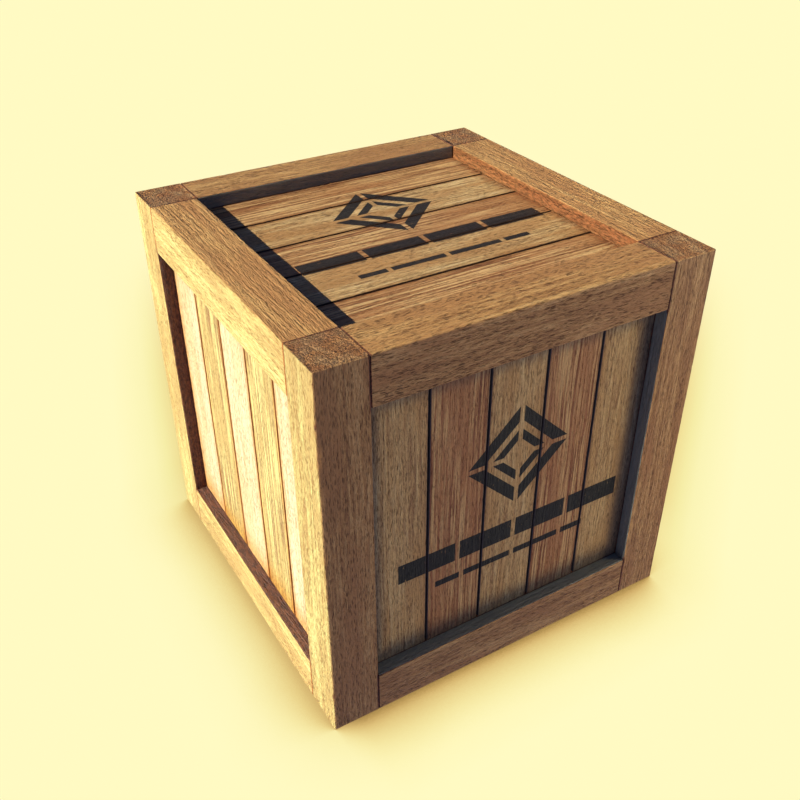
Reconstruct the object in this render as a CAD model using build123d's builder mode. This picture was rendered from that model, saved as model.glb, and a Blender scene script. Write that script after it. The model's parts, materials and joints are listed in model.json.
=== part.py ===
from build123d import *
import os

os.makedirs("parts", exist_ok=True)

# A wooden shipping crate, in millimetres. +Z is up, and the origin is on the ground under the
# middle of the crate. The front is at -Y and the left is at -X. Four corner posts and eight rails
# of one square timber make a cube, and every face of it is closed by planks set back in the frame.
# The lid drops in from above and rests on two ledgers.

# Frame
side = 500.0  # outer width, depth and height
timber = 60.0  # square section of the posts and rails
arris = 1.5  # radius that eases the edges of the timber
half = side / 2
opening = side - 2 * timber  # clear width between two posts, and between two rails
post_centre = half - timber / 2

# Planks, alike in the walls, the lid and the floor
planks_per_face = 5
plank_thickness = 15.0
plank_gap = 2.0  # between neighbours
plank_arris = 0.8
recess = 16.5  # from the frame's outer face to the planks
end_gap = 1.0  # between a board's end and what it meets
fitted_length = opening - 2 * end_gap
pitch = opening / planks_per_face
plank_width = pitch - plank_gap
rows = [row - (planks_per_face - 1) / 2 for row in range(planks_per_face)]

# Wall cleats, behind the upper and lower ends of the wall planks
cleat_depth = 25.0
cleat_height = 20.0
plank_back = half - recess - plank_thickness  # from the crate's middle to the planks' inner face
cleat_face = plank_back - cleat_depth
cleat_middle = plank_back - cleat_depth / 2

# Lid
lid_clearance = 1.5  # on each side
lid_side = opening - 2 * lid_clearance
lid_plank_width = (lid_side - plank_gap * (planks_per_face - 1)) / planks_per_face
lid_pitch = lid_plank_width + plank_gap
lid_bottom = side - recess - plank_thickness  # underside of the lid planks
batten_width = 45.0
batten_height = 25.0
batten_length = 360.0
batten_place = 100.0  # from the crate's middle to the batten's
ledger_width = 20.0
ledger_face = half - timber - ledger_width  # from the crate's middle to a ledger's inner face
lid_ledger_height = 25.0

# Floor
floor_clearance = 10.0  # from the ground to the ledgers
floor_ledger_height = 30.0
floor_bottom = floor_clearance + floor_ledger_height  # underside of the floor planks
floor_top = floor_bottom + plank_thickness
bearer_width = 45.0

# Dowels
dowel_radius = 5.0
dowel_hole_radius = 5.1
dowel_in_rail = 28.0
dowel_in_post = 22.0
dowel_chamfer = 1.0
dowel_spacing = 30.0
bearer_dowel_spacing = 24.0
drill_spare = 0.5  # a hole is this much deeper than what it holds

# Countersunk wood screws
screw_length = 35.0
screw_radius = 2.0
screw_head_radius = 4.0
screw_tip_length = 5.0
screw_tip_radius = 0.4
screw_hole_radius = 2.1
sink_radius = 4.1
slot_length = 4.4  # of the cross in the head
slot_width = 0.9
slot_depth = 1.4
screw_spread = 18.0  # from a plank's middle to each of its two screws
cleat_fixings = [-1.5 * pitch, 0, 1.5 * pitch]
ledger_fixings = [-2 * pitch, -pitch, pitch, 2 * pitch]

# Each wall's own plane: x runs to the right as seen from outside, y runs up and z runs outwards
walls = {
    "front": Plane(origin=(0, 0, 0), x_dir=(1, 0, 0), z_dir=(0, -1, 0)),
    "right": Plane(origin=(0, 0, 0), x_dir=(0, 1, 0), z_dir=(1, 0, 0)),
    "rear": Plane(origin=(0, 0, 0), x_dir=(-1, 0, 0), z_dir=(0, 1, 0)),
    "left": Plane(origin=(0, 0, 0), x_dir=(0, -1, 0), z_dir=(-1, 0, 0)),
}
corners = {
    "front_left": (-1, -1),
    "front_right": (1, -1),
    "rear_left": (-1, 1),
    "rear_right": (1, 1),
}
up = (0, 0, 1)
down = (0, 0, -1)


# ---------------------------------------------------------------- places of dowels and screws
# A dowel's place is where the two pieces meet, with its axis pointing out of the rail. A screw's
# place is the middle of its head, with its axis pointing out of the wood.


def wall_place(wall, x, y, z, direction):
    """A place given in a wall's own coordinates."""
    return Plane(origin=wall.from_local_coords((x, y, z)), z_dir=direction)


def rail_dowels(wall, rail_middle):
    """The four dowels of one rail, two at each end."""
    return [
        wall_place(wall, end * opening / 2, rail_middle + lift, post_centre, wall.x_dir * end)
        for end in (-1, 1)
        for lift in (-dowel_spacing / 2, dowel_spacing / 2)
    ]


def bearer_dowels(end):
    """The two dowels at the front (-1) or rear (1) end of the floor bearer."""
    height = floor_clearance + floor_ledger_height / 2
    return [
        Plane(origin=(x, end * opening / 2, height), z_dir=(0, end, 0))
        for x in (-bearer_dowel_spacing / 2, bearer_dowel_spacing / 2)
    ]


def plank_screws(wall, row):
    """The four screws that hold one wall plank, driven from inside through the two cleats."""
    heights = (timber + cleat_height / 2, side - timber - cleat_height / 2)
    return [
        wall_place(wall, row * pitch + spread, height, cleat_face, wall.z_dir * -1)
        for height in heights
        for spread in (-screw_spread, screw_spread)
    ]


def cleat_screws(wall, upper):
    """The screws through a cleat into the rail above it or below it."""
    height = side - timber - cleat_height if upper else timber + cleat_height
    direction = down if upper else up
    return [wall_place(wall, x, height, cleat_middle, direction) for x in cleat_fixings]


def ledger_screws(wall, height):
    """The screws through a ledger into the rail that it is fixed to."""
    return [wall_place(wall, x, height, ledger_face, wall.z_dir * -1) for x in ledger_fixings]


def floor_screws(x, row):
    """The two screws through a floor plank at one of its three supports."""
    return [
        Plane(origin=(x, row * pitch + spread, floor_top), z_dir=up)
        for spread in (-screw_spread, screw_spread)
    ]


def batten_screws(x, row):
    """The two screws through a lid batten into one lid plank, driven from below."""
    return [
        Plane(origin=(x, row * lid_pitch + spread, lid_bottom - batten_height), z_dir=down)
        for spread in (-screw_spread, screw_spread)
    ]


floor_supports = [-(half - timber - ledger_width / 2), 0, half - timber - ledger_width / 2]
lid_ledger_middle = lid_bottom - lid_ledger_height / 2
floor_ledger_middle = floor_clearance + floor_ledger_height / 2


def drill_for_screws(places):
    """Cuts the holes of these screws in the part being built: each runs through both pieces."""
    with Locations(*places):
        CounterSinkHole(screw_hole_radius, sink_radius, screw_length + drill_spare, 90)


def drill_for_dowels(places, depth):
    """Cuts the holes of these dowels in the part being built."""
    with Locations(*places):
        Hole(dowel_hole_radius, depth + drill_spare)


# ---------------------------------------------------------------- corner posts
for corner, (to_x, to_y) in corners.items():
    joints = [
        place
        for name, wall in walls.items()
        if name in corner
        for middle in (timber / 2, side - timber / 2)
        for place in rail_dowels(wall, middle)
        if place.origin.X * to_x > 0 and place.origin.Y * to_y > 0
    ]
    with BuildPart() as post:
        with BuildSketch() as post_section:
            with Locations((to_x * post_centre, to_y * post_centre)):
                Rectangle(timber, timber)
        extrude(amount=side)
        fillet(post.edges(), arris)
        drill_for_dowels(joints, dowel_in_post)
    post.part.label = f"corner_post_{corner}"
    export_step(post.part, f"parts/corner_post_{corner}.step")

# ---------------------------------------------------------------- rails
for name, wall in walls.items():
    for level, middle in (("top", side - timber / 2), ("bottom", timber / 2)):
        upper = level == "top"
        with BuildPart() as rail:
            with BuildSketch(wall.offset(half - timber)) as rail_face:
                with Locations((0, middle)):
                    Rectangle(opening, timber)
            extrude(amount=timber)
            fillet(rail.edges().filter_by(Axis(wall.origin, wall.x_dir)), arris)
            drill_for_dowels(rail_dowels(wall, middle), dowel_in_rail)
            drill_for_screws(cleat_screws(wall, upper))
            if name in ("left", "right"):
                drill_for_screws(ledger_screws(wall, lid_ledger_middle if upper else floor_ledger_middle))
            elif not upper:
                drill_for_dowels(bearer_dowels(-1 if name == "front" else 1), dowel_in_post)
        rail.part.label = f"{level}_rail_{name}"
        export_step(rail.part, f"parts/{level}_rail_{name}.step")

# ---------------------------------------------------------------- wall planks
for name, wall in walls.items():
    for number, row in enumerate(rows, start=1):
        with BuildPart() as wall_plank:
            with BuildSketch(wall.offset(plank_back)) as wall_plank_face:
                with Locations((row * pitch, side / 2)):
                    Rectangle(plank_width, fitted_length)
            extrude(amount=plank_thickness)
            chamfer(wall_plank.edges().filter_by(Axis.Z), plank_arris)
            drill_for_screws(plank_screws(wall, row))
        wall_plank.part.label = f"{name}_plank_{number}"
        export_step(wall_plank.part, f"parts/{name}_plank_{number}.step")

# ---------------------------------------------------------------- wall cleats
for name, wall in walls.items():
    for level in ("upper", "lower"):
        upper = level == "upper"
        cleat_height_middle = side - timber - cleat_height / 2 if upper else timber + cleat_height / 2
        through = [place for row in rows for place in plank_screws(wall, row)]
        with BuildPart() as cleat:
            with BuildSketch(wall.offset(cleat_face)) as cleat_front:
                with Locations((0, cleat_height_middle)):
                    Rectangle(fitted_length, cleat_height)
            extrude(amount=cleat_depth)
            chamfer(cleat.edges().filter_by(Axis(wall.origin, wall.x_dir)), plank_arris)
            drill_for_screws([place for place in through if (place.origin.Z > half) == upper])
            drill_for_screws(cleat_screws(wall, upper))
        cleat.part.label = f"{level}_cleat_{name}"
        export_step(cleat.part, f"parts/{level}_cleat_{name}.step")

# ---------------------------------------------------------------- floor
for number, row in enumerate(rows, start=1):
    with BuildPart() as floor_plank:
        with BuildSketch(Plane.XY.offset(floor_bottom)) as floor_plank_face:
            with Locations((0, row * pitch)):
                Rectangle(fitted_length, plank_width)
        extrude(amount=plank_thickness)
        chamfer(floor_plank.edges().filter_by(Axis.X), plank_arris)
        for support in floor_supports:
            drill_for_screws(floor_screws(support, row))
    floor_plank.part.label = f"floor_plank_{number}"
    export_step(floor_plank.part, f"parts/floor_plank_{number}.step")

for name, support in (("left", floor_supports[0]), ("right", floor_supports[2])):
    with BuildPart() as floor_ledger:
        with BuildSketch(Plane.XY.offset(floor_clearance)) as floor_ledger_base:
            with Locations((support, 0)):
                Rectangle(ledger_width, fitted_length)
        extrude(amount=floor_ledger_height)
        chamfer(floor_ledger.edges().filter_by(Axis.Y), plank_arris)
        drill_for_screws(ledger_screws(walls[name], floor_ledger_middle))
        for row in rows:
            drill_for_screws(floor_screws(support, row))
    floor_ledger.part.label = f"floor_ledger_{name}"
    export_step(floor_ledger.part, f"parts/floor_ledger_{name}.step")

with BuildPart() as floor_bearer:
    with BuildSketch(Plane.XY.offset(floor_clearance)) as bearer_base:
        Rectangle(bearer_width, opening)
    extrude(amount=floor_ledger_height)
    chamfer(floor_bearer.edges().filter_by(Axis.Y), plank_arris)
    drill_for_dowels(bearer_dowels(-1) + bearer_dowels(1), dowel_in_rail)
    for row in rows:
        drill_for_screws(floor_screws(0, row))
floor_bearer.part.label = "floor_bearer"
export_step(floor_bearer.part, "parts/floor_bearer.step")

# ---------------------------------------------------------------- lid and its ledgers
for name, support in (("left", floor_supports[0]), ("right", floor_supports[2])):
    with BuildPart() as lid_ledger:
        with BuildSketch(Plane.XY.offset(lid_bottom - lid_ledger_height)) as lid_ledger_base:
            with Locations((support, 0)):
                Rectangle(ledger_width, fitted_length)
        extrude(amount=lid_ledger_height)
        chamfer(lid_ledger.edges().filter_by(Axis.Y), plank_arris)
        drill_for_screws(ledger_screws(walls[name], lid_ledger_middle))
    lid_ledger.part.label = f"lid_ledger_{name}"
    export_step(lid_ledger.part, f"parts/lid_ledger_{name}.step")

for number, row in enumerate(rows, start=1):
    with BuildPart() as lid_plank:
        with BuildSketch(Plane.XY.offset(lid_bottom)) as lid_plank_face:
            with Locations((0, row * lid_pitch)):
                Rectangle(lid_side, lid_plank_width)
        extrude(amount=plank_thickness)
        chamfer(lid_plank.edges().filter_by(Axis.X), plank_arris)
        for place in (-batten_place, batten_place):
            drill_for_screws(batten_screws(place, row))
    lid_plank.part.label = f"lid_plank_{number}"
    export_step(lid_plank.part, f"parts/lid_plank_{number}.step")

for name, place in (("left", -batten_place), ("right", batten_place)):
    with BuildPart() as lid_batten:
        with BuildSketch(Plane.XY.offset(lid_bottom - batten_height)) as lid_batten_base:
            with Locations((place, 0)):
                Rectangle(batten_width, batten_length)
        extrude(amount=batten_height)
        chamfer(lid_batten.edges().filter_by(Axis.Y), plank_arris)
        for row in rows:
            drill_for_screws(batten_screws(place, row))
    lid_batten.part.label = f"lid_batten_{name}"
    export_step(lid_batten.part, f"parts/lid_batten_{name}.step")

# ---------------------------------------------------------------- dowels
with BuildPart() as dowel:
    with BuildSketch(Plane.XY.offset(-dowel_in_rail)) as dowel_section:
        Circle(dowel_radius)
    extrude(amount=dowel_in_rail + dowel_in_post)
    chamfer(dowel.edges().filter_by(GeomType.CIRCLE), dowel_chamfer)

dowel_places = bearer_dowels(-1) + bearer_dowels(1)
for wall in walls.values():
    for middle in (timber / 2, side - timber / 2):
        dowel_places += rail_dowels(wall, middle)

with BuildPart() as frame_dowels:
    with Locations(*dowel_places):
        add(dowel.part)
frame_dowels.part.label = "frame_dowels"
export_step(frame_dowels.part, "parts/frame_dowels.step")

# ---------------------------------------------------------------- screws
# The head's top is level with its place, and the shank runs down from it to a point.
with BuildPart() as screw:
    with BuildSketch(Plane.XZ) as screw_section:
        with BuildLine() as screw_outline:
            Polyline(
                (0, 0),
                (screw_head_radius, 0),
                (screw_radius, screw_radius - screw_head_radius),
                (screw_radius, screw_tip_length - screw_length),
                (screw_tip_radius, -screw_length),
                (0, -screw_length),
                close=True,
            )
        make_face()
    revolve(axis=Axis.Z)
    with BuildSketch() as cross:
        Rectangle(slot_length, slot_width)
        Rectangle(slot_width, slot_length)
    extrude(amount=-slot_depth, mode=Mode.SUBTRACT)

crate_screw_places = []
for wall in walls.values():
    for row in rows:
        crate_screw_places += plank_screws(wall, row)
    crate_screw_places += cleat_screws(wall, True) + cleat_screws(wall, False)
for name in ("left", "right"):
    crate_screw_places += ledger_screws(walls[name], lid_ledger_middle)
    crate_screw_places += ledger_screws(walls[name], floor_ledger_middle)
for row in rows:
    for support in floor_supports:
        crate_screw_places += floor_screws(support, row)

with BuildPart() as crate_screws:
    with Locations(*crate_screw_places):
        add(screw.part)
crate_screws.part.label = "crate_screws"
export_step(crate_screws.part, "parts/crate_screws.step")

lid_screw_places = []
for row in rows:
    lid_screw_places += batten_screws(-batten_place, row) + batten_screws(batten_place, row)

with BuildPart() as lid_screws:
    with Locations(*lid_screw_places):
        add(screw.part)
lid_screws.part.label = "lid_screws"
export_step(lid_screws.part, "parts/lid_screws.step")
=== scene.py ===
import json
import math
import random

import bpy
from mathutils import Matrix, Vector, noise

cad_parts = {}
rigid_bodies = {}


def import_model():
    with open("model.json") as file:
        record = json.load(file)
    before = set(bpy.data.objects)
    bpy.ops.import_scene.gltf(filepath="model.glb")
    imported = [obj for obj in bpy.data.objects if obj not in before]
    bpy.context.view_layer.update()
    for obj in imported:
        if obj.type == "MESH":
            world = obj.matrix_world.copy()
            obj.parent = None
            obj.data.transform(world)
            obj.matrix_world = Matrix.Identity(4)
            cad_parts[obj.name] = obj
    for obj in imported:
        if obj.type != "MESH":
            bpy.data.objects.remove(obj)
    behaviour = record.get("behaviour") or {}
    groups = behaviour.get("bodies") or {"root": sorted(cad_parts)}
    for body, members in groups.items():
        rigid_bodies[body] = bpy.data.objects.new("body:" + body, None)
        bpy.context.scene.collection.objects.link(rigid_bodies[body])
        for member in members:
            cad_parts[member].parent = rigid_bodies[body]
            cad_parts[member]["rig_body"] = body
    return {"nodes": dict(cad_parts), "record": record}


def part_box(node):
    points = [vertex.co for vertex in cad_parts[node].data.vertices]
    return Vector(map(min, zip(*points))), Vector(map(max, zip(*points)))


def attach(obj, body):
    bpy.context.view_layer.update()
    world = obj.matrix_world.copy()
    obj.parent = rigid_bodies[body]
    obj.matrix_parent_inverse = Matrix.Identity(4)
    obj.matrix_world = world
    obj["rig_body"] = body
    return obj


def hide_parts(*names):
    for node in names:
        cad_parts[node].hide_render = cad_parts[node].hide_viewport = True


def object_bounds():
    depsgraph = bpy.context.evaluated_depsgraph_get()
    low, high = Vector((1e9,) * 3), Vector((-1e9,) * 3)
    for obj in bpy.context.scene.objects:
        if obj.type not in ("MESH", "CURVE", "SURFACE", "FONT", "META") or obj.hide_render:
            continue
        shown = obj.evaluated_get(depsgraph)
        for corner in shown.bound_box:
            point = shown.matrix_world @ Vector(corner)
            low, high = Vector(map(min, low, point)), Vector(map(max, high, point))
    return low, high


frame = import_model()
cad_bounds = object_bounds()

# The wood of the frame, walls and lid is rebuilt board by board inside the boxes of the CAD nodes,
# with eased and worn edges. Each of these boards carries its own grain directions, so that long
# grain, end grain and growth rings agree on all its sides. The other CAD nodes only get materials.
# Lengths are in metres.

low_corner, high_corner = cad_bounds
side = high_corner[0] - low_corner[0]
WALLS = ("front", "rear", "left", "right")
PLANK_NUMBERS = range(1, 6)
slot_of = {part["node"]: part["material_slot"] for part in frame["record"]["subparts"]}


# ---------------------------------------------------------------- shader nodes
class Graph:
    """A material and short calls that add its nodes. Each call gives back the new node's output."""

    def __init__(self, name):
        self.material = bpy.data.materials.new(name)
        self.material.use_nodes = True
        self.tree = self.material.node_tree
        self.shader = self.tree.nodes["Principled BSDF"]

    def plug(self, socket, value):
        if isinstance(value, bpy.types.NodeSocket):
            self.tree.links.new(value, socket)
        else:
            socket.default_value = value

    def add(self, kind, settings=(), inputs=()):
        node = self.tree.nodes.new("ShaderNode" + kind)
        for name, value in dict(settings).items():
            setattr(node, name, value)
        for key, value in dict(inputs).items():
            self.plug(node.inputs[key], value)
        return node

    def sum(self, operation, *values):
        values = dict(enumerate(values))
        return self.add("Math", {"operation": operation}, values).outputs[0]

    def vector(self, operation, *values):
        values = dict(enumerate(values))
        node = self.add("VectorMath", {"operation": operation}, values)
        return node.outputs["Value" if operation == "LENGTH" else "Vector"]

    def between(self, value, low, high):
        """0 at low and 1 at high, smooth between them and flat beyond. Either may be the larger."""
        inputs = {"Value": value, "From Min": low, "From Max": high}
        return self.add("MapRange", {"interpolation_type": "SMOOTHSTEP"}, inputs).outputs[0]

    def noise(self, vector, scale=1.0, detail=2.0, roughness=0.5):
        inputs = {"Vector": vector, "Scale": scale, "Detail": detail, "Roughness": roughness}
        return self.add("TexNoise", inputs=inputs).outputs["Fac"]

    def cells(self, vector, randomness=1.0):
        """How far each point is from the nearest of a scatter of points."""
        inputs = {"Vector": vector, "Scale": 1.0, "Randomness": randomness}
        return self.add("TexVoronoi", inputs=inputs).outputs["Distance"]

    def mix(self, factor, first, second, blend="MIX"):
        node = self.add("Mix", {"data_type": "RGBA", "blend_type": blend})
        self.plug(node.inputs[0], factor)
        self.plug(node.inputs[6], first)
        self.plug(node.inputs[7], second)
        return node.outputs[2]

    def ramp(self, factor, *stops):
        """Colours by factor. Each stop is a place and a colour."""
        node = self.add("ValToRGB", inputs={"Fac": factor})
        elements = node.color_ramp.elements
        while len(elements) < len(stops):
            elements.new(0.5)
        for element, (place, colour) in zip(elements, stops):
            element.position = place
            element.color = (*colour, 1.0)
        return node.outputs["Color"]


# ---------------------------------------------------------------- the painted marks
# A plain stencilled diamond over two bars, in shares of the crate's side, from its left and lower
# (or front) edges. The narrow bridges are where a stencil holds together.
MARK_CENTRE = 0.515
DIAMOND_WIDTH = 0.145  # from its centre to a side corner
OUTLINE_INSIDE = 0.70  # the outline's inner border, as a share of the diamond
INNER_DIAMOND = (0.34, 0.54)  # the inner diamond's inner and outer borders, likewise
BRIDGE = 0.006  # half a bridge's width
MARK_PARTS = {  # each part's level, its half height and, for a bar, its half width
    "front": {"diamond": (0.597, 0.140), "wide": (0.378, 0.028, 0.32), "thin": (0.300, 0.009, 0.22)},
    "lid": {"diamond": (0.640, 0.140), "wide": (0.440, 0.026, 0.33), "thin": (0.345, 0.009, 0.23)},
}
# How many bridge spacings wide each bar is. One bridge is always in the middle.
BAR_SPACINGS = (("wide", 4), ("thin", 3))
MARK_SOFTNESS = 0.0009
PAINT_DEPTH = (0.003, 0.002)  # how deep under the outer surface the paint ends, and is in full
# Each face's ink is tinted to offset the colour of the light on that face.
INK = {"front": (0.012, 0.020, 0.020), "lid": (0.017, 0.017, 0.020)}


def mark_mask(graph, face):
    """Where a face's mark is painted, from 0 to 1, before wear."""
    places = graph.add("TexCoord").outputs["Object"]
    parts = graph.add("SeparateXYZ", inputs={"Vector": places}).outputs
    across = graph.sum("MULTIPLY_ADD", parts["X"], 1 / side, 0.5 - MARK_CENTRE)
    low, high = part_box(f"{face}_plank_1")
    if face == "front":
        up = graph.sum("MULTIPLY", parts["Z"], 1 / side)
        outside = graph.between(parts["Y"], *(low.y + depth for depth in PAINT_DEPTH))
    else:
        up = graph.sum("MULTIPLY_ADD", parts["Y"], 1 / side, 0.5)
        outside = graph.between(parts["Z"], *(high.z - depth for depth in PAINT_DEPTH))
    from_middle = graph.sum("ABSOLUTE", across)

    def under(value, limit):
        return graph.between(value, limit + MARK_SOFTNESS, limit - MARK_SOFTNESS)

    def over(value, limit):
        return graph.between(value, limit - MARK_SOFTNESS, limit + MARK_SOFTNESS)

    level, half_height = MARK_PARTS[face]["diamond"]
    rise = graph.sum("ABSOLUTE", graph.sum("SUBTRACT", up, level))
    spread = graph.sum("DIVIDE", from_middle, DIAMOND_WIDTH)
    reach = graph.sum("ADD", spread, graph.sum("DIVIDE", rise, half_height))
    reach = graph.sum("MULTIPLY", reach, DIAMOND_WIDTH)
    hole = OUTLINE_INSIDE * DIAMOND_WIDTH
    outline = graph.sum("MULTIPLY", under(reach, DIAMOND_WIDTH), over(reach, hole))
    inner_hole, inner_width = (share * DIAMOND_WIDTH for share in INNER_DIAMOND)
    inner = graph.sum("MULTIPLY", under(reach, inner_width), over(reach, inner_hole))
    diamonds = graph.sum("MAXIMUM", outline, inner)
    bridges = graph.sum("MINIMUM", over(from_middle, BRIDGE), over(rise, BRIDGE))
    mask = graph.sum("MULTIPLY", diamonds, bridges)
    for bar, spacings in BAR_SPACINGS:
        level, half_height, half_width = MARK_PARTS[face][bar]
        rise = graph.sum("ABSOLUTE", graph.sum("SUBTRACT", up, level))
        bar_mask = graph.sum("MULTIPLY", under(rise, half_height), under(from_middle, half_width))
        shifted = graph.sum("ADD", across, half_width)
        along = graph.sum("PINGPONG", shifted, half_width / spacings)
        along = graph.sum("SUBTRACT", half_width / spacings, along) if spacings % 2 else along
        gaps = over(along, BRIDGE)
        ends = graph.sum("GREATER_THAN", from_middle, half_width - BRIDGE * 2)
        bar_mask = graph.sum("MULTIPLY", bar_mask, graph.sum("MAXIMUM", gaps, ends))
        mask = graph.sum("MAXIMUM", mask, bar_mask)
    return graph.sum("MULTIPLY", mask, outside)


# ---------------------------------------------------------------- materials
def grain_places(graph, grain_axis):
    """Each point's place along the grain (x) and across it (y, z), in metres.

    A rebuilt board carries it on its mesh. A CAD board's grain runs along one axis of the crate.
    """
    if grain_axis is None:
        return graph.add("Attribute", {"attribute_name": "grain"}).outputs["Vector"]
    places = graph.add("TexCoord").outputs["Object"]
    parts = graph.add("SeparateXYZ", inputs={"Vector": places}).outputs
    seed = graph.add("Attribute", {"attribute_type": "OBJECT", "attribute_name": "grain_seed"})
    others = [axis for axis in "XYZ" if axis != grain_axis]
    turned = graph.add(
        "CombineXYZ",
        inputs={
            "X": graph.sum("ADD", parts[grain_axis], seed.outputs["Fac"]),
            "Y": graph.sum("ADD", parts[others[0]], seed.outputs["Fac"]),
            "Z": graph.sum("ADD", parts[others[1]], 0.31),
        },
    )
    return turned.outputs["Vector"]


def end_grain(graph, grain_axis):
    """1 where the wood is cut across the grain."""
    if grain_axis is None:
        wear_and_shade = graph.add("Attribute", {"attribute_name": "wear_and_shade"}).outputs["Vector"]
        return graph.add("SeparateXYZ", inputs={"Vector": wear_and_shade}).outputs["Y"]
    normal = graph.add("TexCoord").outputs["Normal"]
    facing = graph.add("SeparateXYZ", inputs={"Vector": normal}).outputs[grain_axis]
    return graph.between(graph.sum("ABSOLUTE", facing), 0.6, 0.8)


def on_arris(graph, grain_axis):
    """1 on the arrises of a rebuilt board."""
    if grain_axis is None:
        wear_and_shade = graph.add("Attribute", {"attribute_name": "wear_and_shade"}).outputs["Vector"]
        return graph.add("SeparateXYZ", inputs={"Vector": wear_and_shade}).outputs["X"]
    return 0.0


# How dirt and painted shade look on each face, in colours set for the light that falls on it. A stain
# multiplies the wood's colour, a dark film covers it and a deeper painted shade covers that, and pits
# are the darkest and palest shares of the stain. The line is the dark painted along a gap or joint,
# where shade falls: its colour, its reach in metres, and the fringe of painted shade that multiplies
# the wood's colour beside it.
LOOKS = {
    "frame": {
        "stain_and_shade": (0.40, 0.25, 0.26), "pits": (0.5, 1.4),
        "film_and_shade": (0.078, 0.047, 0.051), "deep_shade": (0.27, 0.30, 0.265),
        "line": (0.42, 0.15, 0.03), "reach": 0.0016, "fringe": (1.0, 1.0, 1.0),
    },
    None: {
        "stain_and_shade": (0.34, 0.33, 0.42), "pits": (0.6, 1.3),
        "film_and_shade": (0.062, 0.029, 0.030), "deep_shade": (0.13, 0.115, 0.115),
        "line": (0.040, 0.032, 0.028), "reach": 0.0022, "fringe": (0.80, 0.70, 0.62),
    },
    "left": {
        "stain_and_shade": (0.92, 0.66, 0.42), "pits": (0.8, 1.15),
        "film_and_shade": (0.077, 0.020, 0.013), "deep_shade": (0.16, 0.08, 0.05),
        "line": (0.20, 0.062, 0.010), "reach": 0.0020, "fringe": (0.98, 0.74, 0.52),
    },
    "front": {
        "stain_and_shade": (0.31, 0.38, 0.62), "pits": (0.8, 1.15),
        "film_and_shade": (0.070, 0.074, 0.085), "deep_shade": (0.095, 0.115, 0.130),
        "line": (0.070, 0.060, 0.062), "reach": 0.0016, "fringe": (0.78, 0.70, 0.66),
    },
    "lid": {
        "stain_and_shade": (0.42, 0.27, 0.26), "pits": (0.6, 1.3),
        "film_and_shade": (0.062, 0.025, 0.026), "deep_shade": (0.13, 0.10, 0.10),
        "line": (0.040, 0.018, 0.010), "reach": 0.0015, "fringe": (0.80, 0.66, 0.54),
    },
}
FRINGE_REACH = 0.0075  # how far the painted shade beside a gap or joint reaches
COVERED = (0.95, 2.0)  # how dark a place is painted where the cover starts to show, and hides the wood
FILM_TO_DEEP_SHADE = (1.45, 1.75)


def dirt_and_painted_shade(graph, colour, grain, look):
    """Dirt in the grooves of joints, and painted shade in corners, recesses and the gaps between planks,
    over a rebuilt board.

    The board carries how dark it is painted: up to 1 tints the wood, and 1 to 2 covers it."""
    wear_and_shade = graph.add("Attribute", {"attribute_name": "wear_and_shade"}).outputs["Vector"]
    dirt_and_shade = graph.add("SeparateXYZ", inputs={"Vector": wear_and_shade}).outputs["Z"]
    # Up to 1 the wood is tinted darker, by dirt in joint grooves and by painted shade elsewhere.
    tinted = graph.add("Clamp", inputs={"Value": dirt_and_shade}).outputs[0]
    pits = graph.noise(graph.vector("MULTIPLY", grain, (150, 330, 330)), detail=2, roughness=0.7)
    dark_tint, pale_tint = (
        tuple(channel * share for channel in look["stain_and_shade"]) for share in look["pits"]
    )
    stain_and_shade = graph.ramp(pits, (0.38, dark_tint), (0.6, pale_tint))
    colour = graph.mix(tinted, colour, stain_and_shade, "MULTIPLY")
    # Past 1 a dark film, then a deeper painted shade, covers the wood.
    cover = graph.mix(graph.between(dirt_and_shade, *FILM_TO_DEEP_SHADE), (*look["film_and_shade"], 1), (*look["deep_shade"], 1))
    colour = graph.mix(graph.between(dirt_and_shade, *COVERED), colour, cover)
    # A dark line painted along each gap and joint where shade falls, and painted shade beside it.
    to_gap = graph.add("Attribute", {"attribute_name": "to_gap"}).outputs["Fac"]
    beside = graph.between(to_gap, FRINGE_REACH, look["reach"] * 0.5)
    colour = graph.mix(beside, colour, (*look["fringe"], 1), "MULTIPLY")
    inside = graph.between(to_gap, look["reach"], look["reach"] * 0.45)
    return graph.mix(inside, colour, (*look["line"], 1))


def grained(graph, tones, tone, blushing):
    """The grain's colours by tone from 0 to 1, with a redder blush that drifts through them."""
    colour = graph.ramp(tone, (0.12, tones["dark"]), (0.5, tones["middle"]), (0.88, tones["pale"]))
    return graph.mix(blushing, colour, (*tones["blush"], 1))


SUN_REACH = (0.0014, 0.0006)  # how far in from the left face the painted sunlight ends, and is in full


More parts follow.
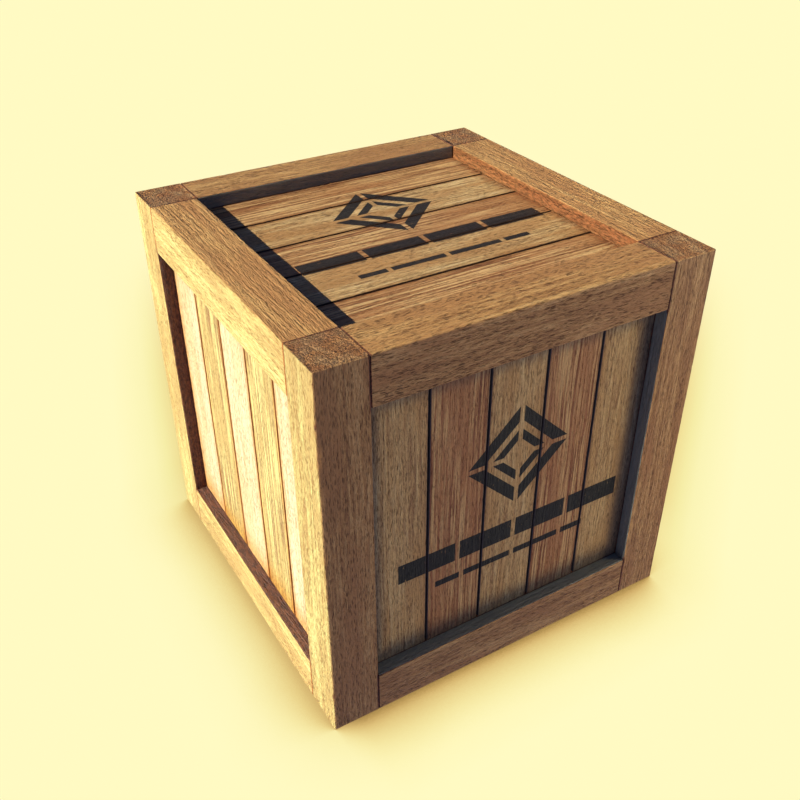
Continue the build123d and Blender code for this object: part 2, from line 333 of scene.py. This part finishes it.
def wood(name, stripe, pores, tones, grain_axis=None, mark=None, look="frame", sunny=None):
    """A planed open-pored board. stripe is how strongly the growth rings show, and pores is how
    dark its open pores are. sunny is the paler, yellower tones painted on the crate's sunlit left face, as
    painted light."""
    graph = Graph(name)
    grain = grain_places(graph, grain_axis)
    drift_places = graph.vector("MULTIPLY", grain, (5, 16, 16))
    drift = graph.add("TexNoise", inputs={"Vector": drift_places, "Scale": 1.0})
    drift = graph.vector("SUBTRACT", drift.outputs["Color"], (0.5, 0.5, 0.5))
    grain = graph.vector("ADD", grain, graph.vector("MULTIPLY", drift, (0, 0.007, 0.007)))

    # growth rings: bands by the distance from the pith, drawn out along the grain
    ring = graph.vector("LENGTH", graph.vector("MULTIPLY", grain, (0, 1, 1)))
    along = graph.add("SeparateXYZ", inputs={"Vector": grain}).outputs["X"]

    def ring_places(along_scale, ring_scale):
        lengthwise = graph.sum("MULTIPLY", along, along_scale)
        outwards = graph.sum("MULTIPLY", ring, ring_scale)
        return graph.add("CombineXYZ", inputs={"X": lengthwise, "Y": outwards}).outputs[0]

    narrow = graph.noise(ring_places(7, 330), detail=3, roughness=0.6)
    broad = graph.noise(ring_places(3, 75), detail=2)
    fibres = graph.noise(graph.vector("MULTIPLY", grain, (70, 560, 560)), detail=4, roughness=0.9)
    streaks = graph.noise(graph.vector("MULTIPLY", grain, (24, 260, 260)), detail=2, roughness=0.6)
    streaks = graph.between(streaks, 0.38, 0.62)
    tone = graph.sum("MULTIPLY", graph.between(narrow, 0.39, 0.61), 0.42 * stripe)
    tone = graph.sum("ADD", tone, graph.sum("MULTIPLY", graph.between(broad, 0.3, 0.7), 0.22))
    fibre_share = 0.56 - 0.30 * stripe
    tone = graph.sum("ADD", tone, graph.sum("MULTIPLY", graph.between(fibres, 0.36, 0.64), fibre_share))
    tone = graph.sum("ADD", tone, graph.sum("MULTIPLY", streaks, 0.22 - 0.12 * stripe))
    patches = graph.noise(graph.vector("MULTIPLY", grain, (5, 34, 34)), detail=3)
    blushing = graph.sum("MULTIPLY", graph.between(patches, 0.45, 0.62), 0.75)
    colour = grained(graph, tones, tone, blushing)

    # pores: short dark vessels along the grain, more of them in some rings than in others
    long_pores = graph.cells(graph.vector("MULTIPLY", grain, (90, 600, 600)))
    fine_pores = graph.cells(graph.vector("MULTIPLY", grain, (160, 1000, 1000)))
    crowding = graph.between(narrow, 0.62, 0.42)
    pore = graph.between(long_pores, 0.42, 0.16)
    pore = graph.sum("MULTIPLY", pore, graph.sum("MULTIPLY_ADD", crowding, 0.65, 0.35))
    fine = graph.sum("MULTIPLY", graph.between(fine_pores, 0.34, 0.14), 0.55)
    pore = graph.sum("MAXIMUM", pore, fine)
    pore_colour = (*tones["pore"], 1)
    # On the crate's left face the sunny tones are painted light, where the sun falls.
    if sunny is not None:
        places = graph.add("TexCoord").outputs["Object"]
        across = graph.add("SeparateXYZ", inputs={"Vector": places}).outputs["X"]
        painted_sunlight = graph.between(across, *(reach - side / 2 for reach in SUN_REACH))
        colour = graph.mix(painted_sunlight, colour, grained(graph, sunny, tone, blushing))
        pore_colour = graph.mix(painted_sunlight, pore_colour, (*sunny["pore"], 1))
    colour = graph.mix(graph.sum("MULTIPLY", pore, pores), colour, pore_colour)

    # end grain drinks the finish and is darker; arrises are painted paler, as rubbed wear and as a painted
    # highlight along them
    cut = end_grain(graph, grain_axis)
    speckle = graph.noise(graph.vector("MULTIPLY", grain, (250, 560, 560)), detail=2, roughness=0.8)
    end_colour = graph.mix(graph.between(speckle, 0.36, 0.64), (0.34, 0.34, 0.46, 1), (1.14, 1.14, 1.20, 1))
    end_patches = graph.noise(graph.vector("MULTIPLY", grain, (20, 55, 55)), detail=2)
    end_tint = graph.mix(graph.between(end_patches, 0.4, 0.62), (0.98, 1.02, 1.12, 1), (1.0, 0.86, 0.78, 1))
    end_colour = graph.mix(1.0, end_colour, end_tint, "MULTIPLY")
    end_colour = graph.mix(1.0, colour, end_colour, "MULTIPLY")
    colour = graph.mix(cut, colour, end_colour)
    rubbed = graph.noise(graph.vector("MULTIPLY", grain, (45, 90, 90)), detail=3, roughness=0.6)
    rubbed = graph.sum("MULTIPLY", on_arris(graph, grain_axis), graph.between(rubbed, 0.42, 0.62))
    pale_edge = tuple(min(1.0, channel * 1.12) for channel in tones["pale"])
    colour = graph.mix(graph.sum("MULTIPLY", rubbed, 0.25), colour, (*pale_edge, 1))

    roughness = graph.sum("MULTIPLY_ADD", pore, 0.2, 0.50)
    height = graph.sum("MULTIPLY_ADD", pore, -0.8, graph.sum("MULTIPLY", narrow, 0.5))
    height = graph.sum("MULTIPLY_ADD", fibres, 0.7, height)
    height = graph.sum("MULTIPLY_ADD", streaks, 0.45, height)
    if mark is not None:
        paint = mark_mask(graph, mark)
        scuffs = graph.noise(graph.vector("MULTIPLY", grain, (70, 420, 420)), detail=4, roughness=0.7)
        paint = graph.sum("MULTIPLY", paint, graph.between(scuffs, 0.24, 0.36))
        paint = graph.sum("MULTIPLY", paint, 0.97)
        colour = graph.mix(paint, colour, (*INK[mark], 1))
        roughness = graph.sum("ADD", roughness, graph.sum("MULTIPLY", paint, 0.12))
    if grain_axis is None:
        shade = graph.add("Attribute", {"attribute_type": "OBJECT", "attribute_name": "shade"})
        colour = graph.mix(1.0, colour, shade.outputs["Fac"], "MULTIPLY")
        colour = dirt_and_painted_shade(graph, colour, grain, LOOKS[look])
    bump = graph.add("Bump", inputs={"Strength": 1.0, "Distance": 0.0016, "Height": height})
    graph.plug(graph.shader.inputs["Base Color"], colour)
    graph.plug(graph.shader.inputs["Roughness"], roughness)
    graph.plug(graph.shader.inputs["Normal"], bump.outputs["Normal"])
    graph.shader.inputs["Specular IOR Level"].default_value = 0.25
    return graph.material


def screw_steel():
    """Zinc-plated steel, slightly dulled, with a yellowish cast in places."""
    graph = Graph("zinc_screw")
    places = graph.add("TexCoord").outputs["Object"]
    clouds = graph.noise(places, scale=400, detail=3)
    colour = graph.ramp(clouds, (0.3, (0.42, 0.37, 0.26)), (0.7, (0.66, 0.63, 0.56)))
    graph.plug(graph.shader.inputs["Base Color"], colour)
    graph.shader.inputs["Metallic"].default_value = 1.0
    graph.plug(graph.shader.inputs["Roughness"], graph.sum("MULTIPLY_ADD", clouds, 0.3, 0.25))
    scratches = graph.noise(graph.vector("MULTIPLY", places, (900, 5000, 900)), detail=2)
    bump = graph.add("Bump", inputs={"Strength": 0.2, "Distance": 0.0001, "Height": scratches})
    graph.plug(graph.shader.inputs["Normal"], bump.outputs["Normal"])
    return graph.material


FRAME_TONES = {
    "dark": (0.295, 0.132, 0.047),
    "middle": (0.53, 0.278, 0.098),
    "pale": (0.735, 0.449, 0.184),
    "blush": (0.46, 0.219, 0.080),
    "pore": (0.106, 0.048, 0.017),
}
# The frame's tones on the crate's sunlit left face: painted light, paler and yellower.
SUNNY_FRAME_TONES = {
    "dark": (0.35, 0.180, 0.057),
    "middle": (0.485, 0.360, 0.125),
    "pale": (0.64, 0.585, 0.238),
    "blush": (0.44, 0.286, 0.099),
    "pore": (0.36, 0.170, 0.045),
}
# The left wall's paler and redder planks, in cream and golden tones that stand for the strong sunlight on
# it: painted light.
CREAM_TONES = {
    "dark": (0.60, 0.420, 0.210),
    "middle": (0.80, 0.615, 0.375),
    "pale": (0.93, 0.755, 0.525),
    "blush": (0.78, 0.560, 0.300),
    "pore": (0.500, 0.310, 0.085),
}
LIGHT_TONES = {
    "dark": (0.44, 0.232, 0.092),
    "middle": (0.74, 0.465, 0.182),
    "pale": (0.94, 0.680, 0.300),
    "blush": (0.66, 0.370, 0.130),
    "pore": (0.158, 0.084, 0.033),
}
RED_TONES = {
    "dark": (0.34, 0.130, 0.052),
    "middle": (0.64, 0.325, 0.125),
    "pale": (0.86, 0.550, 0.225),
    "blush": (0.55, 0.240, 0.090),
    "pore": (0.122, 0.047, 0.019),
}
GOLDEN_TONES = {
    "dark": (0.37, 0.200, 0.078),
    "middle": (0.63, 0.470, 0.178),
    "pale": (0.85, 0.750, 0.310),
    "blush": (0.56, 0.370, 0.128),
    "pore": (0.450, 0.240, 0.065),
}
BATTEN_TONES = {
    "dark": (0.38, 0.190, 0.083),
    "middle": (0.62, 0.355, 0.160),
    "pale": (0.78, 0.510, 0.262),
    "blush": (0.55, 0.275, 0.116),
    "pore": (0.137, 0.068, 0.030),
}

LID_TONES = {
    "dark": (0.34, 0.165, 0.062),
    "middle": (0.76, 0.480, 0.208),
    "pale": (1.00, 0.770, 0.420),
    "blush": (0.60, 0.300, 0.105),
    "pore": (0.122, 0.059, 0.022),
}
LID_RED_TONES = {
    "dark": (0.32, 0.126, 0.048),
    "middle": (0.645, 0.336, 0.132),
    "pale": (0.91, 0.590, 0.268),
    "blush": (0.54, 0.240, 0.090),
    "pore": (0.115, 0.045, 0.017),
}
# The right and rear walls have no look of their own and go by None.
FACE_SHADES = {None: 0.95, "left": 0.77, "front": 0.92, "lid": 0.87}  # how bright the planks are, each face's copy toned for the light on it: painted light and shade


def shaded(tones, share):
    return {name: tuple(channel * share for channel in colour) for name, colour in tones.items()}


PLANK_TONES = {  # the paler and the redder planks of each face, each face's copy toned for the light on it
    None: (LIGHT_TONES, RED_TONES),
    "left": (CREAM_TONES, GOLDEN_TONES),
    "front": (LIGHT_TONES, RED_TONES),
    "lid": (LID_TONES, LID_RED_TONES),
}

materials = {
    "frame_wood": wood(
        "oiled_frame_timber", stripe=0.5, pores=0.75, tones=FRAME_TONES, sunny=SUNNY_FRAME_TONES
    )
}
for face, shade in FACE_SHADES.items():
    suffix = "" if face is None else f"_{face}"
    mark = face if face in ("front", "lid") else None
    light, red = (shaded(tones, shade) for tones in PLANK_TONES[face])
    pores = 0.3 if face == "left" else 0.65
    materials["light_plank", face] = wood(f"light_plank{suffix}", 0.6, pores, light, mark=mark, look=face)
    materials["red_plank", face] = wood(f"red_plank{suffix}", 1.6, 0.8 * pores, red, mark=mark, look=face)
for axis in "XY":
    materials["batten_wood", axis] = wood(
        f"batten_{axis}", stripe=0.8, pores=0.3, grain_axis=axis, tones=BATTEN_TONES
    )
    materials["floor", axis] = wood(
        f"floor_{axis}", stripe=0.7, pores=0.5, grain_axis=axis, tones=LIGHT_TONES
    )
materials["dowel_wood"] = wood("dowel", stripe=0.4, pores=0.2, grain_axis="X", tones=BATTEN_TONES)
materials["screw_steel"] = screw_steel()


# ---------------------------------------------------------------- boards
ARC_ANGLES = (20, 45, 70, 90)  # how the round of an arris is divided, in degrees


def stations(length, radius, step):
    """Places along a board from end to end, each with how far the section is drawn in there."""
    arc = []
    for degrees in ARC_ANGLES:
        angle = math.radians(degrees)
        arc.append((radius * (1 - math.cos(angle)), radius * (1 - math.sin(angle))))
    start = radius * 1.3
    count = max(2, round((length - 2 * start) / step))
    gap = (length - 2 * start) / count
    plain = [(start + gap * index, 0.0) for index in range(count + 1)]
    far = [(length - place, inset) for place, inset in reversed(arc)]
    return arc + plain + far


def side_places(half_length, step, support):
    """Places along one flat side of a section, with a close pair next to each arris."""
    count = max(1, round(2 * (half_length - support) / step))
    gap = 2 * (half_length - support) / count
    return [-half_length + support + gap * index for index in range(count + 1)]


def section(width, thickness, radius, step):
    """The outline of a board's section: place (w, t), outward direction (w, t), and 1 on an arris."""
    support = radius * 0.7
    flat_w = width / 2 - radius
    flat_t = thickness / 2 - radius
    outline = []
    turns = ((1, 0), (0, 1), (-1, 0), (0, -1))
    for out_w, out_t in turns:
        reach = width / 2 if out_w else thickness / 2
        for place in side_places(flat_t if out_w else flat_w, step, support):
            outline.append((out_w * reach - out_t * place, out_t * reach + out_w * place, out_w, out_t, 0.0))
        start = math.atan2(out_t, out_w)
        corner_w = (out_w - out_t) * flat_w
        corner_t = (out_t + out_w) * flat_t
        for share in (0, 1 / 3, 2 / 3, 1):
            angle = start + share * math.pi / 2
            direction = (math.cos(angle), math.sin(angle))
            outline.append(
                (corner_w + direction[0] * radius, corner_t + direction[1] * radius, *direction, 1.0)
            )
    return outline


def board_axes(size):
    """The directions of a board's length, width and thickness."""
    order = sorted(range(3), key=lambda axis: -round(size[axis], 4))
    return [Vector([float(axis == wanted) for axis in range(3)]) for wanted in order]


WAVES = 0.00012  # half the depth that the surface waves reach, and so on for the ridges
RIDGES = 0.00006
RUBBED = 0.0005  # how deep the arrises are rubbed, and knocked
KNOCKED = 0.0016
KNOCKS_ABOVE = 0.42  # of the noise, so that knocks are few


def wear_depth(place, corner, seed, roughness):
    """How far a board's surface is worn in at a place given along, across and through it."""
    waves = noise.noise(Vector((place[0] * 9, place[1] * 30, place[2] * 30)) + seed)
    ridges = noise.noise(Vector((place[0] * 22, place[1] * 170, place[2] * 170)) + seed)
    depth = WAVES * (1 + waves) + RIDGES * (1 + ridges)
    if corner > 0:
        rubbed = noise.noise(place * 38 + seed)
        knocked = noise.noise(place * 95 + seed * 2)
        depth += corner * RUBBED * max(0.0, rubbed)
        depth += corner * KNOCKED * max(0.0, knocked - KNOCKS_ABOVE)
    return depth * roughness


half = side / 2
half_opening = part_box("top_rail_front")[1].x
GROOVE = 0.0018  # how far a joint's groove reaches to each side
GROOVE_DIRT = 1.3
# How dark the frame's recesses are painted, as painted shade: darkest on the front.
FRONT_RECESS_SHADE = 1.75
OTHER_RECESS_SHADE = 1.45
RECESS_SHADE = {  # painted shade in the recesses, where a board differs from these
    "top_rail_right": 0.82,
    "top_rail_rear": 1.7,
    "bottom_rail_left": 1.5,
    "corner_post_front_left": 1.5,
}
RECESS_START = (0.0002, 0.0008)  # how deep in from the outer face the painted shade starts, and is in full
RECESS_END = (0.017, 0.024)  # how deep in it starts to end, behind the planks' faces, and is gone
LID_BORDER = (0.75, 0.020)  # how dark the lid is painted beside the frame, as painted shade, and how far in that reaches
PLANK_SIDES = (1.1, 0.004, 0.025)  # how dark a wall is painted beside the posts, as painted shade, and where that fades
PLANK_HEADS = (0.8, 0.009, 0.030)
FRONT_FEET = (1.3, 0.042)  # how dark a wall is painted at its foot, as painted shade, and how far up that reaches
OTHER_FEET = (1.8, 0.055)
LEFT_WALL_SHARE = 0.6  # the left wall's painted shade, to the others', less where the sun falls on it


def smooth(value, low, high):
    """0 at low or under, 1 at high or over, and smooth between."""
    share = min(1.0, max(0.0, (value - low) / (high - low)))
    return share * share * (3 - 2 * share)


def frame_dirt_and_shade(node, place, edge):
    """Dirt in the grooves of a post's or rail's joints, and painted shade deep in its recesses."""
    furthest, second, third = sorted((abs(place.x), abs(place.y), abs(place.z - half)), reverse=True)
    depth = half - furthest
    if edge > 0 and depth < GROOVE and abs(third - half_opening) < GROOVE and second > half_opening:
        return GROOVE_DIRT
    usual = FRONT_RECESS_SHADE if furthest == -place.y else OTHER_RECESS_SHADE
    most = RECESS_SHADE.get(node, usual)
    return most * smooth(depth, *RECESS_START) * (1 - smooth(depth, *RECESS_END))


def to_gap(node, place, to_side):
    """How far a place is from a gap between planks or, on the frame's sunny face, from a joint."""
    if node.startswith("lid") and half_opening - abs(place.y) < to_side + 0.004:
        return 1.0
    if "plank" in node:
        return to_side
    if place.x > GROOVE - half:
        return 1.0
    past_joint = abs(abs(place.y) - half_opening)
    return past_joint if abs(place.z - half) > half_opening else 1.0


def plank_painted_shade(node, place, edge):
    """Painted shade on a plank: along the border of the recess, and most of all at the foot of a wall."""
    across = min(abs(place.x), abs(place.y))
    if node.startswith("lid"):
        worst, reach = LID_BORDER
        return worst * (1 - smooth(half_opening - max(abs(place.x), abs(place.y)), 0.0, reach))
    most = LEFT_WALL_SHARE if node.startswith("left") else 1.0
    worst, *fade = PLANK_SIDES
    sides = worst * (1 - smooth(half_opening - across, *fade))
    worst, *fade = PLANK_HEADS
    head = worst * (1 - smooth(half + half_opening - place.z, *fade))
    worst, reach = FRONT_FEET if node.startswith("front") else OTHER_FEET
    foot = worst * (1 - smooth(place.z - (half - half_opening), 0.0, reach))
    return most * max(sides, head, foot)


SHADES = {  # how much paler or darker an odd board is than its fellows
    "corner_post_front_left": 0.92,
    "top_rail_front": 1.06,
    "top_rail_rear": 1.03,
    "left_plank_1": 0.95,
}


def board(node, material, dirt_and_shade, radius=0.0012, step=0.0045, roughness=1.0):
    """One board with eased, worn arrises, inside its CAD node's box, which it stands for."""
    dice = random.Random(node)
    low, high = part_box(node)
    size = high - low
    length_way, width_way, thickness_way = board_axes(size)
    length, width, thickness = (size.dot(way) for way in (length_way, width_way, thickness_way))
    middle = (low + high) / 2
    seed = Vector([dice.uniform(-50, 50) for _ in range(3)])
    pith_angle = dice.uniform(0.15, 0.6) * dice.choice((-1, 1)) + dice.choice((0, math.pi))
    pith_distance = dice.uniform(0.07, 0.15)
    shift = Vector((dice.uniform(0, 9), math.cos(pith_angle), math.sin(pith_angle)))
    shift.yz = shift.yz * pith_distance

    points, grains, wears_and_shades, gaps = [], [], [], []
    outline = section(width, thickness, radius, step)
    count = len(outline)

    def put(along, across, through, edge, cut):
        place = middle + length_way * (along - length / 2) + width_way * across + thickness_way * through
        points.append(place)
        grains.append(Vector((along, across, through)) + shift)
        # Each point carries its arris, its end grain, and how dark it is painted by dirt and painted shade.
        wears_and_shades.append((edge, cut, dirt_and_shade(node, place, edge)))
        gaps.append(to_gap(node, place, width / 2 - abs(across)))

    rings = stations(length, radius, step * 1.3)
    for along, inset in rings:
        at_end = 1.0 if inset > 0 else 0.0
        for across, through, out_w, out_t, corner in outline:
            edge = max(corner, at_end)
            depth = inset + wear_depth(Vector((along, across, through)), edge, seed, roughness)
            cut = 1.0 if inset > radius / 4 else 0.0
            put(along, across - out_w * depth, through - out_t * depth, edge, cut)
    faces = []
    for ring in range(len(rings) - 1):
        for index in range(count):
            after = (index + 1) % count
            near, far = ring * count, (ring + 1) * count
            faces.append((near + index, near + after, far + after, far + index))

    for end, first in ((0, 0), (1, (len(rings) - 1) * count)):
        rim = list(range(first, first + count))
        along = rings[-1][0] if end else rings[0][0]
        sink = -1 if end else 1
        for share in (0.96, 0.8, 0.6, 0.4, 0.2):
            loop = []
            for across, through, out_w, out_t, corner in outline:
                place = Vector((along, across * share, through * share))
                loop.append(len(points))
                put(along + sink * wear_depth(place, 0, seed, roughness), place[1], place[2], 0.0, 1.0)
            for index in range(count):
                after = (index + 1) % count
                quad = (rim[index], loop[index], loop[after], rim[after])
                faces.append(quad[::-1] if end else quad)
            rim = loop
        centre = len(points)
        put(along, 0.0, 0.0, 0.0, 1.0)
        for index in range(count):
            after = (index + 1) % count
            triangle = (rim[index], centre, rim[after])
            faces.append(triangle[::-1] if end else triangle)

    turned_over = length_way.cross(width_way).dot(thickness_way) < 0
    if turned_over:
        faces = [face[::-1] for face in faces]
    mesh = bpy.data.meshes.new(f"{node}_wood")
    mesh.from_pydata(points, [], faces)
    for name, values in (("grain", grains), ("wear_and_shade", wears_and_shades)):
        attribute = mesh.attributes.new(name, "FLOAT_VECTOR", "POINT")
        attribute.data.foreach_set("vector", [number for value in values for number in value])
    mesh.attributes.new("to_gap", "FLOAT", "POINT").data.foreach_set("value", gaps)
    mesh.shade_smooth()
    mesh.materials.append(material)
    piece = bpy.data.objects.new(f"{node}_wood", mesh)
    bpy.context.scene.collection.objects.link(piece)
    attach(piece, frame["nodes"][node]["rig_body"])
    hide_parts(node)
    piece["shade"] = SHADES.get(node, 1.0)
    return piece


for node in frame["nodes"]:
    if slot_of[node] == "frame_wood":
        board(node, materials["frame_wood"], frame_dirt_and_shade, radius=0.0014, roughness=0.6)

for wall in WALLS:
    for number in PLANK_NUMBERS:
        node = f"{wall}_plank_{number}"
        face = wall if wall in FACE_SHADES else None
        board(node, materials[slot_of[node], face], plank_painted_shade, radius=0.0010)

for number in PLANK_NUMBERS:
    node = f"lid_plank_{number}"
    board(node, materials[slot_of[node], "lid"], plank_painted_shade, radius=0.0010)

# ---------------------------------------------------------------- CAD pieces that stay
for index, (node, piece) in enumerate(frame["nodes"].items()):
    slot = slot_of[node]
    low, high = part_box(node)
    size = high - low
    axis = "X" if size.x > size.y else "Y"
    if slot == "batten_wood":
        material = materials["batten_wood", axis]
    elif node.startswith("floor_plank"):
        material = materials["floor", axis]
    elif slot in ("dowel_wood", "screw_steel"):
        material = materials[slot]
    else:
        continue
    piece["grain_seed"] = index * 0.37
    piece.data.materials.clear()
    piece.data.materials.append(material)


# ---------------------------------------------------------------- floor, backdrop, light and camera
PALE_YELLOW = (1.02, 0.957, 0.546)
CONTACT_SHADOW_TINTS = (  # the painted contact shadow, by how open the floor is to the sky, from right beside the crate outwards
    (0.50, (0.34, 0.21, 0.06)),
    (0.56, (0.60, 0.385, 0.125)),
    (0.64, (0.78, 0.575, 0.215)),
    (0.78, (0.93, 0.815, 0.365)),
    (0.90, (1.00, 0.935, 0.497)),
    (1.00, PALE_YELLOW),
)
# The same painted contact shadow, lighter and yellower on the crate's sunlit left.
SUNNY_CONTACT_SHADOW_TINTS = (
    (0.50, (0.65, 0.44, 0.155)),
    (0.62, (0.82, 0.635, 0.245)),
    (0.76, (0.95, 0.85, 0.40)),
    (0.90, (1.00, 0.94, 0.52)),
    (1.00, PALE_YELLOW),
)
CONTACT_REACH = 0.13  # how far from the crate the floor's painted contact shadow reaches
GROUND_RADIUS = 30
BACKDROP_RADIUS = 29.5
# The soft painted shade that stretches away behind the crate, between two lines that spread from its corners
SHADE_LINES = ((14.2, -1, 1), (50.8, 1, -1))  # degrees from +Y towards +X, and the corner it passes
SHADE_EDGE = 0.1  # metres, to fade across
SHADE_TINTS = (  # from the line outwards
    (0.00, (0.86, 0.77, 0.56)),
    (0.20, (0.905, 0.885, 0.707)),
    (0.40, (0.946, 0.946, 0.848)),
    (0.65, (0.970, 0.975, 0.920)),
    (1.00, (1.0, 1.0, 1.0)),
)
SKY_ABOVE = (0.045, 0.073, 0.178)
SKY_BELOW = (0.36, 0.345, 0.48)  # the light that a pale floor sends back up


def plain_glow(name, strength_colour):
    graph = Graph(name)
    graph.shader.inputs["Base Color"].default_value = (0, 0, 0, 1)
    graph.shader.inputs["Roughness"].default_value = 1.0
    graph.shader.inputs["Specular IOR Level"].default_value = 0.0
    graph.plug(graph.shader.inputs["Emission Color"], strength_colour(graph))
    graph.shader.inputs["Emission Strength"].default_value = 1.0
    return graph.material


def floor_colour(graph):
    """Pale yellow, with a painted contact shadow, deeper and warmer where the crate stands close, and a
    painted shade behind it.
    """
    open_sky = graph.add("AmbientOcclusion", {"samples": 16}, {"Distance": CONTACT_REACH}).outputs["AO"]
    places = graph.add("TexCoord").outputs["Object"]
    parts = graph.add("SeparateXYZ", inputs={"Vector": places}).outputs
    sunny = graph.between(parts["X"], -0.5 * side, -0.42 * side)
    colour = graph.mix(sunny, graph.ramp(open_sky, *SUNNY_CONTACT_SHADOW_TINTS), graph.ramp(open_sky, *CONTACT_SHADOW_TINTS))

    outside = []
    for degrees, turn_x, turn_y in SHADE_LINES:
        angle = math.radians(degrees)
        out = Vector((turn_x * math.cos(angle), turn_y * math.sin(angle)))
        past = graph.sum("MULTIPLY", parts["X"], out.x)
        past = graph.sum("MULTIPLY_ADD", parts["Y"], out.y, past)
        outside.append(graph.sum("SUBTRACT", past, out.dot(Vector((turn_x, turn_y)) * side / 2)))
    past_line = graph.sum("DIVIDE", graph.sum("MAXIMUM", *outside), SHADE_EDGE)
    shade = graph.ramp(past_line, *SHADE_TINTS)
    behind = graph.between(parts["Y"], 0.35 * side, 0.7 * side)
    beside = graph.between(parts["X"], 0.45 * side, 0.8 * side)
    beyond = graph.sum("MAXIMUM", behind, beside)
    fade = graph.between(graph.vector("LENGTH", places), 2.5 * side, 1.1 * side)
    return graph.mix(graph.sum("MULTIPLY", beyond, fade), colour, graph.mix(1.0, colour, shade, "MULTIPLY"))


def unseen_by_light(piece):
    """The floor and backdrop show to the camera, and don't colour or shade the crate."""
    piece.visible_diffuse = False
    piece.visible_glossy = False
    piece.visible_shadow = False


bpy.ops.mesh.primitive_circle_add(vertices=96, radius=GROUND_RADIUS, fill_type="NGON", location=(0, 0, 0))
ground = bpy.context.object
ground.name = "ground"
ground.data.materials.append(plain_glow("pale_floor", floor_colour))
unseen_by_light(ground)

bpy.ops.mesh.primitive_uv_sphere_add(segments=64, ring_count=32, radius=BACKDROP_RADIUS, location=(0, 0, 0))
backdrop = bpy.context.object
backdrop.name = "backdrop"
backdrop.data.materials.append(plain_glow("pale_backdrop", lambda graph: (*PALE_YELLOW, 1)))
unseen_by_light(backdrop)

world = bpy.data.worlds.new("soft_sky")
world.use_nodes = True
sky = world.node_tree
direction = sky.nodes.new("ShaderNodeTexCoord").outputs["Generated"]
height = sky.nodes.new("ShaderNodeSeparateXYZ")
sky.links.new(direction, height.inputs[0])
rise = sky.nodes.new("ShaderNodeMapRange")
rise.inputs["From Min"].default_value = -0.05
rise.inputs["From Max"].default_value = 0.25
sky.links.new(height.outputs["Z"], rise.inputs["Value"])
blend = sky.nodes.new("ShaderNodeMix")
blend.data_type = "RGBA"
sky.links.new(rise.outputs[0], blend.inputs[0])
blend.inputs[6].default_value = (*SKY_BELOW, 1)
blend.inputs[7].default_value = (*SKY_ABOVE, 1)
sky.links.new(blend.outputs[2], sky.nodes["Background"].inputs["Color"])
bpy.context.scene.world = world

LAMP_SIDE = 0.5
crate_only = bpy.data.collections.new("lit_by_lamps")
for piece in list(bpy.data.objects):
    if piece.type == "MESH" and piece not in (ground, backdrop):
        crate_only.objects.link(piece)


def lamp(name, kind, energy, colour, place, aim=(0, 0, LAMP_SIDE / 2), **settings):
    """A lamp that lights the crate and not the floor, pointed from place to aim.

    Places are for a crate LAMP_SIDE wide, and spread or close up with its real side."""
    light = bpy.data.lights.new(name, kind)
    light.energy = energy
    light.color = colour
    for setting, value in settings.items():
        setattr(light, setting, value)
    piece = bpy.data.objects.new(name, light)
    piece.location = Vector(place) * side / LAMP_SIDE
    way = Vector(aim) * side / LAMP_SIDE - piece.location
    piece.rotation_euler = way.to_track_quat("-Z", "Y").to_euler()
    bpy.context.scene.collection.objects.link(piece)
    piece.light_linking.receiver_collection = crate_only
    piece.visible_camera = False
    return piece


KEY_HEIGHT = math.radians(27)  # above the horizon, from the left
KEY_DISTANCE = 4
key_rise = KEY_DISTANCE * math.sin(KEY_HEIGHT)
key_place = (-KEY_DISTANCE * math.cos(KEY_HEIGHT), 0, LAMP_SIDE / 2 + key_rise)
lamp("key", "SUN", 7.55, (1.0, 0.965, 0.78), key_place, angle=math.radians(0.8))
lamp("left_glow", "AREA", 14, (0.92, 1.0, 0.84), (-1.7, 0.22, 0.2), shape="RECTANGLE", size=0.06, size_y=0.5)
lamp("right_glow", "AREA", 4.0, (1.0, 0.85, 0.55), (0.9, -0.7, 0.3), shape="RECTANGLE", size=0.3, size_y=0.3)
lamp("rear_fill", "AREA", 16, (1.0, 0.93, 0.80), (1.3, 2.0, 0.3), shape="RECTANGLE", size=1.6, size_y=0.4)

LENS = 42.154  # millimetres, on the usual 36 mm sensor
CAMERA_PLACE = Vector((-1.0784, -1.788, 1.8783)) * side
CAMERA_HEADING = math.radians(31.07)  # from +Y towards +X
CAMERA_PITCH = math.radians(34.62)  # downwards
camera_data = bpy.data.cameras.new("camera")
camera_data.lens = LENS
camera_data.shift_x = -0.0085
camera_data.shift_y = 0.018
camera = bpy.data.objects.new("camera", camera_data)
camera.location = CAMERA_PLACE
camera.rotation_euler = (math.pi / 2 - CAMERA_PITCH, 0, -CAMERA_HEADING)
bpy.context.scene.collection.objects.link(camera)
bpy.context.scene.camera = camera
bpy.context.scene.view_settings.view_transform = "Standard"
